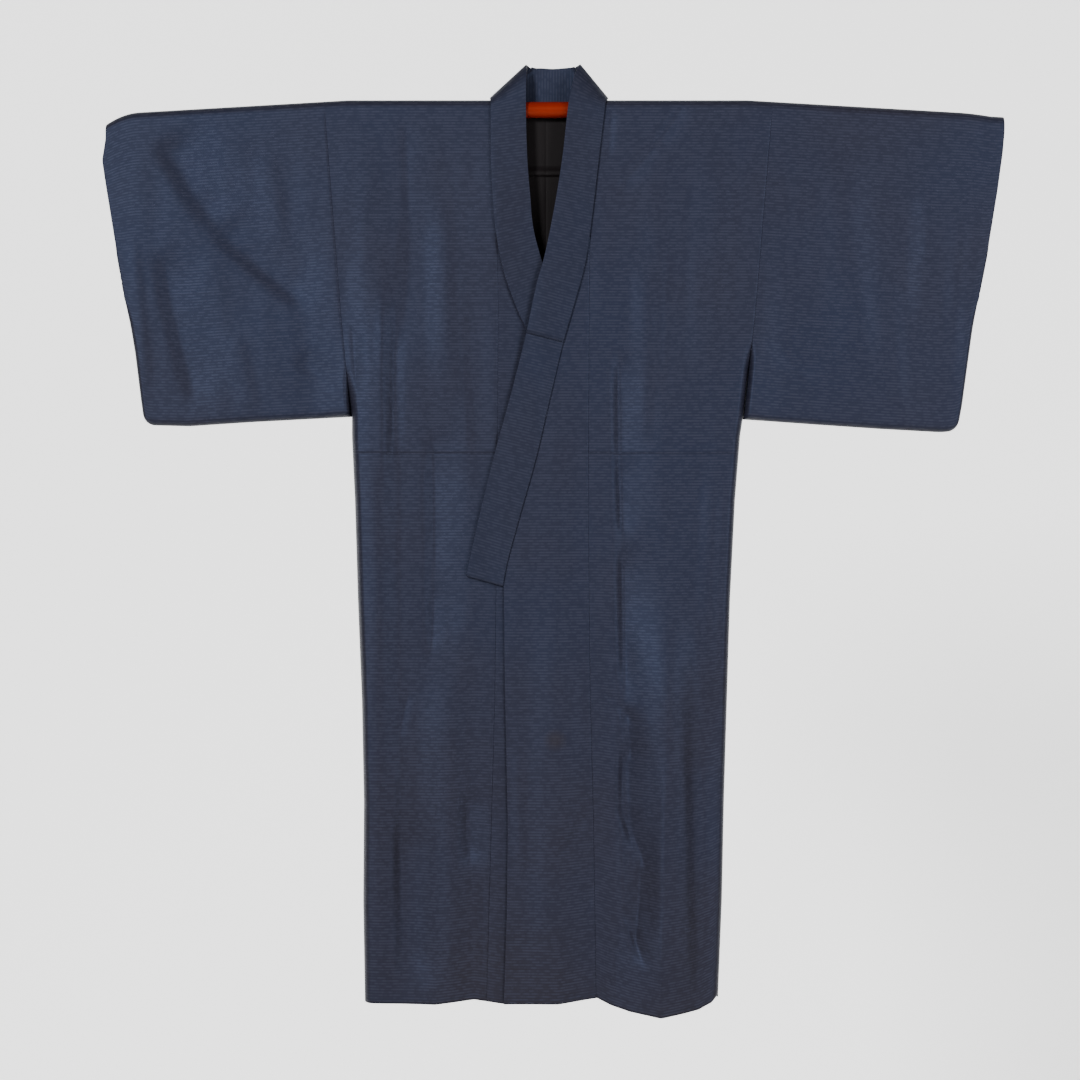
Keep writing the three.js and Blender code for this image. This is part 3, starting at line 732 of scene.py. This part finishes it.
# x0, z0, x1, z1, depth, width
SLEEVE_FOLDS = (
    (-576, -33, -500, -160, -4, 42),
    (-500, -160, -364, -288, -4, 42),
    (-577, -204, -526, -423, -4, 38),
    (330, -340, 392, -402, -2.5, 26),
    (566, -110, 556, -300, -4, 40),
    (440, -70, 470, -380, 4, 50),
    (-576, -36, -530, -118, -1.5, 20),
    (-532, -112, -466, -206, -1.6, 20),
    (-468, -200, -364, -290, -1.6, 20),
    (-577, -204, -564, -296, -1.4, 17),
    (-565, -290, -526, -425, -1.5, 18),
    (-376, -372, -312, -418, -2.4, 20),
    (-330, -388, -306, -404, -2.0, 6),
    (-334, -412, -304, -424, -2.0, 6),
    (-326, -436, -303, -441, -1.6, 5),
    (-420, -60, -400, -210, 1.6, 26),
    (-620, -180, -598, -400, 1.8, 18),
    (-470, -330, -440, -450, 1.6, 22),
    (321, -343, 382, -398, -1.5, 14),
    (308, -388, 330, -402, -1.8, 6),
    (306, -414, 328, -424, -1.8, 6),
    (305, -438, 322, -444, -1.4, 5),
    (565, -165, 562, -215, -1.8, 18),
    (640, -20, 668, -34, -1.6, 7),
    (380, -60, 376, -260, 1.5, 22),
    (510, -240, 524, -440, 1.6, 24),
    (618, -120, 600, -420, 1.6, 20),
)

# z, right edge, left edge
SLEEVE_EDGES = (
    (-10, -661, 682),
    (-45, -666, 679),
    (-105, -658, 671),
    (-210, -643, 655),
    (-285, -631, 641),
    (-360, -619, 631),
    (-435, -610, 621),
    (-480, -604, 613),
)

# x, z
SLEEVE_BOTTOMS = (
    (-620, -472),
    (-537, -474),
    (-447, -468),
    (-296, -460),
    (296, -464),
    (408, -472),
    (498, -478),
    (588, -483),
    (630, -480),
)


def corner_slump(side, x):
    """Near the rod's end a sleeve's top corner has less under it and slumps, the right one most."""
    return -SLUMP_DEPTH[side] * clamp((abs(x) - SLUMP_START) / SLUMP_WIDTH) ** 2


def make_sleeve(side):
    sign = SIGNS[side]
    straight = SLEEVE_BOTTOM[side] + SLEEVE_ROUNDING
    across = even_steps(-1, 0, TURN_STEP) + edged(SLEEVE_COLUMNS)[1:] + even_steps(1, 2, TURN_STEP)[1:]
    hanging = [1 + z / straight for z in even_steps(0, straight, CLOTH_STEP)]
    hanging += even_steps(2, 3, TURN_STEP)[1:]
    down = [-v for v in reversed(hanging)] + even_steps(-1, 1, TURN_STEP)[1:-1] + hanging

    def place(u, v):
        fall = clamp(abs(v) - 1)
        bottom_turn = max(0.0, abs(v) - 2) * RIGHT_ANGLE
        guide_z = straight * fall - SLEEVE_ROUNDING * math.sin(bottom_turn)
        loose = LOOSE_GAP * smooth((LOOSE_TOP - guide_z) / LOOSE_EASE) if side == "left" else 0
        inner_shut = armhole_shut(side, guide_z)
        outer_shut = smooth((CUFF_OPENING - guide_z) / CUFF_EASE)
        inner = read_table(BODY_SIDES, 0, guide_z, SIDE_COLUMN[side])
        inner += sign * (SEAM_GAP / 2 + loose + edge_inset(inner_shut))
        outer = read_table(SLEEVE_EDGES, 0, guide_z, SIDE_COLUMN[side]) - sign * edge_inset(outer_shut)
        inner_turn = max(0.0, -u) * RIGHT_ANGLE
        outer_turn = max(0.0, u - 1) * RIGHT_ANGLE
        x = mix(inner + sign * SLEEVE_ROUNDING, outer - sign * SLEEVE_ROUNDING, clamp(u))
        x -= sign * SLEEVE_ROUNDING * math.sin(inner_turn)
        x += sign * SLEEVE_ROUNDING * math.sin(outer_turn)
        if abs(v) < 1:
            over = over_shoulder(x, v)
            over.z += corner_slump(side, x)
            return over
        corner_at = clamp(1 - abs(outer - x) / SLEEVE_CORNER)
        corner = SLEEVE_CORNER * (1 - math.sqrt(1 - corner_at ** 2))
        bottom = read_table(SLEEVE_BOTTOMS, 0, x, 1) + corner
        share = guide_z / SLEEVE_BOTTOM[side]
        top = rod_droop(x) + corner_slump(side, x)
        z = guide_z + top * (1 - share) + (bottom - SLEEVE_BOTTOM[side]) * share
        fold_share, seed = (1, SLEEVE_FRONT_SEED) if v > 0 else (BACK_FOLD_SHARE, SLEEVE_BACK_SEED)
        opened = read_table(SLEEVE_DEPTH, 0, guide_z, 1)
        opened += fold_share * fold_depth(SLEEVE_FOLDS, x, guide_z)
        opened += hang_ripple(x, guide_z, seed) * smooth(-guide_z / SLEEVE_RIPPLE_EASE)
        body_side = front_depth(x, guide_z) if v > 0 else back_depth(x, guide_z)
        opened = mix(opened, body_side, smooth(1 - abs(x - inner) / BODY_BLEND))
        settled = smooth(-guide_z / SETTLE_DEPTH)
        if side == "right":
            opened -= edge_roll(abs(x - inner)) * settled
        rounding = mix(1, math.cos(outer_turn), outer_shut) * mix(1, math.cos(inner_turn), inner_shut)
        half = SEAM_GAP / 2
        depth = half + (opened - half) * rounding * math.cos(bottom_turn)
        return Vector((x, -depth if v > 0 else depth, z))

    piece = weave_sheet(
        f"sleeve_silk_{side}", across, down, place, CLOTH_WALL, [BODY_SILK, LINING_SILK]
    )
    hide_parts(f"sleeve_{side}")


make_sleeve("right")
make_sleeve("left")


# The front overlap panels: each a half width sewn to its body front. The left one lies outside
# and shows whole; the right one lies under it and shows in a narrow strip and above the collar.
OVERLAP_COLUMNS = 24
COLLAR_END_EASE = 10

# z, right free edge, left free edge
OVERLAP_EDGES = (
    (-700, 60, -66),
    (-860, 62, -64.5),
    (-1065, 64, -60),
    (-1200, 64, -61.5),
    (-1335, 62, -66),
)


def over_depth(x, z):
    return front_depth(x, z) + OVERLAP_LIFT * smooth((OVER_SEAM_X - x) / LAYER_EASE)


def under_depth(x, z):
    sink = OVERLAP_SINK * smooth((x + LAYER_EASE) / LAYER_EASE) * smooth((SINK_TOP - z) / SINK_EASE)
    return front_depth(x, z) - sink


def make_overlap(side):
    sign = SIGNS[side]
    collar_end = COLLARS[side][-1][1]
    depth_of = over_depth if side == "left" else under_depth
    top = OVERLAP_TOP - SEAM_GAP
    down = [-z for z in even_steps(top, -BODY_LENGTH, CLOTH_STEP)]

    def place(u, v):
        flat_z = -v
        outer = read_table(OVERLAP_SEAMS, 0, flat_z, SIDE_COLUMN[side]) - sign * SEAM_GAP / 2
        neck = read_table(COLLARS[side], 1, flat_z, 0) - sign * HIDDEN_LAP
        edge = read_table(OVERLAP_EDGES, 0, flat_z, SIDE_COLUMN[side])
        inner = mix(neck, edge, clamp((collar_end - flat_z) / COLLAR_END_EASE + 1))
        x = mix(inner, outer, u)
        fall = -flat_z / BODY_LENGTH
        z = flat_z + (read_table(HEM_LINE, 0, x, 1) + BODY_LENGTH) * fall ** HEM_POWER
        depth = depth_of(x, flat_z) - (edge_roll(outer - x) if side == "left" else 0)
        return Vector((x, -depth, z))

    across = edged(OVERLAP_COLUMNS)
    piece = weave_sheet(
        f"overlap_silk_{side}", across, down, place, CLOTH_WALL, [BODY_SILK, LINING_SILK]
    )
    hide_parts(f"okumi_{side}")


make_overlap("right")
make_overlap("left")


# The collar: one folded strip, sewn along one edge from front to front. It turns over at each
# side of the neck in a diagonal fold and stands up across the back. A shorter cover strip of
# the same silk lies on it.
COLLAR_WALL = 2.4
COVER_WALL = 1.1
LAYER_GAP = 0.7
COVER_GAP = 0.3
COVER_CROWN = 0.25
CROWN_POWER = 6
COVER_FIRST = 5
COVER_HIDDEN_END = 3.4
COLLAR_COLUMNS = 12
COLLAR_ROWS_PER_SECTION = 9
COLLAR_RISE = CLOTH_WALL / 2 + LAYER_GAP + COLLAR_WALL / 2
COVER_RISE = COLLAR_WALL / 2 + COVER_GAP + COVER_WALL / 2

# sewn x, y, z and free x, y, z across the neck, from left to right of the wearer
NECK_COLLAR = (
    (85.5, -13.8, 8, 36, -15, 34),
    (87, -8, 13.8, 41.5, -9, 56),
    (88.5, 0, 16, 46.5, 0, 67),
    (86.5, 8.5, 14, 43, 9, 67.5),
    (79, 14.5, 8, 34, 14.6, 67),
    (56, 16.2, 5, 22, 16.2, 66),
    (0, 16.4, 5, 7, 16.4, 65),
    (-56, 16.2, 5, -8, 16.2, 66),
    (-78, 14.5, 8, -19, 14.6, 66),
    (-84, 8.5, 14, -28, 9, 66.5),
    (-85.5, 0, 16, -31.5, 0, 66),
    (-85.5, -8, 13.8, -31.5, -9, 54),
    (-85.5, -13.8, 8, -32.5, -15, 32),
)


def spline(points, at):
    """A smooth run through points, a centripetal curve, at a fractional index."""
    last = len(points) - 1
    first = min(last - 1, max(0, math.floor(at)))
    p1, p2 = points[first], points[first + 1]
    p0 = points[first - 1] if first > 0 else p1 * 2 - p2
    p3 = points[first + 2] if first + 2 <= last else p2 * 2 - p1
    t0 = 0.0
    t1 = t0 + math.sqrt((p1 - p0).length)
    t2 = t1 + math.sqrt((p2 - p1).length)
    t3 = t2 + math.sqrt((p3 - p2).length)
    t = mix(t1, t2, at - first)
    a1 = p0.lerp(p1, (t - t0) / (t1 - t0))
    a2 = p1.lerp(p2, (t - t1) / (t2 - t1))
    a3 = p2.lerp(p3, (t - t2) / (t3 - t2))
    b1 = a1.lerp(a2, (t - t0) / (t2 - t0))
    b2 = a2.lerp(a3, (t - t1) / (t3 - t1))
    return b1.lerp(b2, (t - t1) / (t2 - t1))


def front_run(table, depth_of):
    sewn = [Vector((x, -depth_of(x, z) - COLLAR_RISE, z)) for x, z, _, _ in table]
    free = [Vector((x, -depth_of(x, z) - COLLAR_RISE, z)) for _, _, x, z in table]
    return sewn, free


LEFT_RUN = front_run(LEFT_COLLAR, over_depth)
RIGHT_RUN = front_run(RIGHT_COLLAR, under_depth)
SEWN_EDGE = LEFT_RUN[0][::-1] + [Vector(row[:3]) for row in NECK_COLLAR] + RIGHT_RUN[0]
FREE_EDGE = LEFT_RUN[1][::-1] + [Vector(row[3:]) for row in NECK_COLLAR] + RIGHT_RUN[1]
NECK_FIRST = len(LEFT_COLLAR) - 1
NECK_LAST = NECK_FIRST + len(NECK_COLLAR) + 1
COLLAR_LAST = len(SEWN_EDGE) - 1

# the two small notches in the top edge, in rows of the run from the neck's two sides
NOTCH_FROM_SIDE = 4.4
NOTCHES = (NECK_FIRST + NOTCH_FROM_SIDE, NECK_LAST - NOTCH_FROM_SIDE)
NOTCH_DEPTH = 3.5
NOTCH_ROWS = 0.22
NOTCH_STEP = 0.08
NOTCH_POWER = 10

# how many rows from the neck's middle its back ends, and over how many it fades into the turns
BACK_REACH = 2.8
BACK_FADE = 0.6


def collar_surface(u, at):
    point = spline(SEWN_EDGE, at).lerp(spline(FREE_EDGE, at), u)
    if at <= NECK_FIRST:
        point.y = -over_depth(point.x, point.z) - COLLAR_RISE
    if at >= NECK_LAST:
        point.y = -under_depth(point.x, point.z) - COLLAR_RISE
    notch = sum(NOTCH_DEPTH * math.exp(-(((at - row) / NOTCH_ROWS) ** 2)) for row in NOTCHES)
    point.z -= notch * u ** NOTCH_POWER
    return point


def collar_place(rise, crown):
    def place(u, at):
        step = 1e-3
        along_u = collar_surface(min(1, u + step), at) - collar_surface(max(0, u - step), at)
        along_v = collar_surface(u, min(COLLAR_LAST, at + step)) - collar_surface(u, max(0, at - step))
        outward = along_v.cross(along_u).normalized()
        padding = crown * (1 - abs(2 * u - 1) ** CROWN_POWER)
        return collar_surface(u, at) + outward * (rise + padding)

    return place


# painted shade: the collar's silk is the body's navy silk painted about a tenth darker
SHADED_COLLAR_SILK = silk("navy_silk_collar_shaded", (0.0098, 0.0093, 0.0134), (0.0200, 0.0200, 0.0300))


def run_rows(first, last):
    """Places along the collar's run: even ones, with finer ones at the two notches."""
    fine = {notch + n * NOTCH_STEP for notch in NOTCHES for n in range(-6, 7)}
    return sorted(set(even_steps(first, last, 1 / COLLAR_ROWS_PER_SECTION)) | fine)


def back_share(at):
    """One across the back of the neck, and none at the turns and the fronts."""
    middle = (NECK_FIRST + NECK_LAST) / 2
    return smooth((BACK_REACH - abs(at - middle)) / BACK_FADE)


COVERED = ("left_front", "left_turn", "back", "right_turn", "right_front")


def make_collar():
    rows = run_rows(0, COLLAR_LAST)
    strip = weave_sheet(
        "collar_silk",
        edged(COLLAR_COLUMNS),
        rows,
        collar_place(0, 0),
        COLLAR_WALL,
        [SHADED_COLLAR_SILK],
        back_share,
    )
    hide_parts(*(f"collar_{part}" for part in ("left_end", *COVERED, "right_end")))
    rows = run_rows(COVER_FIRST, COLLAR_LAST - COVER_HIDDEN_END)
    cover = weave_sheet(
        "collar_cover_silk",
        edged(COLLAR_COLUMNS),
        rows,
        collar_place(COVER_RISE, COVER_CROWN),
        COVER_WALL,
        [SHADED_COLLAR_SILK],
        back_share,
    )
    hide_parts(*(f"collar_cover_{part}" for part in COVERED))


make_collar()


# The back lining where it shows in the neck: black silk with a seam down its middle and a
# shallow tuck across it, just inside the back of the body.
LINING_WALL = 1.0
LINING_HALF_WIDTH = 118
LINING_TOP = -7
LINING_BOTTOM = -300
LINING_GAP = 0.3
LINING_ROW = 4
LINING_COLUMNS = 52

# the centre seam: its place, its place as a share of the width, its height and width
SEAM_X = -3
SEAM_SHARE = 0.4873
SEAM_SHARE_STEP = 0.004
SEAM_RISE = 0.45
SEAM_WIDTH = 1.6

# extra rows where the tuck turns
TUCK_TURNS = {-82, -84, -86, -88.5, -91, -93, -95.5, -97, -98.5, -99.5}

# z, how far the tuck's lip stands out
LINING_TUCK = (
    (-7, 0),
    (-82, 0),
    (-86, 1.6),
    (-91, 4.6),
    (-95.5, 5.0),
    (-98.5, 0),
    (-300, 0),
)


def make_lining():
    inset = CLOTH_WALL / 2 + SEAM_GAP + LINING_GAP + LINING_WALL / 2
    heights = sorted(set(even_steps(LINING_BOTTOM, LINING_TOP, LINING_ROW)) | TUCK_TURNS)

    def place(u, z):
        x = mix(-LINING_HALF_WIDTH, LINING_HALF_WIDTH, u)
        seam = SEAM_RISE * math.exp(-(((x - SEAM_X) / SEAM_WIDTH) ** 2))
        depth = back_depth(x, z) - inset - read_table(LINING_TUCK, 0, z, 1) + seam
        return Vector((x, depth, z))

    beside_seam = {SEAM_SHARE + n * SEAM_SHARE_STEP for n in range(-2, 3)}
    across = sorted(set(even_steps(0, 1, 1 / LINING_COLUMNS)) | beside_seam)
    piece = weave_sheet("back_lining_silk", across, heights, place, LINING_WALL, [LINING_SILK])
    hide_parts("back_lining")


make_lining()


# The studio: a plain pale floor, an evenly bright white backdrop well behind the garment, a large
# soft lamp at the upper left and a weaker one at the right.
BACKDROP_Y = 3.7
FLOOR_Z = -2.5
STUDIO_HALF = 7


def plain_card(name, corners, colour, glow=0.0):
    bm = bmesh.new()
    bm.faces.new([bm.verts.new(corner) for corner in corners])
    mesh = bpy.data.meshes.new(name)
    bm.to_mesh(mesh)
    bm.free()
    card = bpy.data.objects.new(name, mesh)
    bpy.context.scene.collection.objects.link(card)
    finish, shader, _ = new_finish(f"{name}_paint", 0.9, specular=0.1)
    shader.inputs["Base Color"].default_value = (*colour, 1)
    shader.inputs["Emission Color"].default_value = (1, 1, 1, 1)
    shader.inputs["Emission Strength"].default_value = glow
    mesh.materials.append(finish)


def lamp(name, place, aim, size, power):
    light = bpy.data.lights.new(name, "AREA")
    light.shape = "SQUARE"
    light.size = size
    light.energy = power
    stand = bpy.data.objects.new(name, light)
    stand.location = place
    stand.rotation_euler = (Vector(aim) - Vector(place)).to_track_quat("-Z", "Y").to_euler()
    bpy.context.scene.collection.objects.link(stand)


plain_card(
    "backdrop",
    [
        (-STUDIO_HALF, BACKDROP_Y, FLOOR_Z),
        (STUDIO_HALF, BACKDROP_Y, FLOOR_Z),
        (STUDIO_HALF, BACKDROP_Y, STUDIO_HALF),
        (-STUDIO_HALF, BACKDROP_Y, STUDIO_HALF),
    ],
    (0.9, 0.9, 0.9),
    glow=1.2,
)
plain_card(
    "floor",
    [
        (-STUDIO_HALF, -STUDIO_HALF, FLOOR_Z),
        (STUDIO_HALF, -STUDIO_HALF, FLOOR_Z),
        (STUDIO_HALF, BACKDROP_Y, FLOOR_Z),
        (-STUDIO_HALF, BACKDROP_Y, FLOOR_Z),
    ],
    (0.86, 0.86, 0.85),
)
lamp("key", (-5.2, -10.6, 2.8), (0, 0, -0.6), 2.2, 1760)
lamp("fill", (2.8, -3.2, 0.2), (0.5, 0, -0.6), 2.0, 150)
sky = bpy.data.worlds.new("studio")
sky.use_nodes = True
sky.node_tree.nodes["Background"].inputs["Color"].default_value = (1, 1, 1, 1)
sky.node_tree.nodes["Background"].inputs["Strength"].default_value = 0.2
bpy.context.scene.world = sky


# The camera: level and straight on, at the middle of the frame's height.
FRAME_WIDTH = 1.62
CAMERA_DISTANCE = 3.2
SENSOR = 36
CAMERA_X = -0.012
CAMERA_Z = -0.645
camera_data = bpy.data.cameras.new("camera")
camera_data.sensor_width = SENSOR
camera_data.lens = SENSOR * CAMERA_DISTANCE / FRAME_WIDTH
camera = bpy.data.objects.new("camera", camera_data)
camera.location = (CAMERA_X, -CAMERA_DISTANCE, CAMERA_Z)
camera.rotation_euler = (RIGHT_ANGLE, 0, 0)
bpy.context.scene.collection.objects.link(camera)
bpy.context.scene.camera = camera
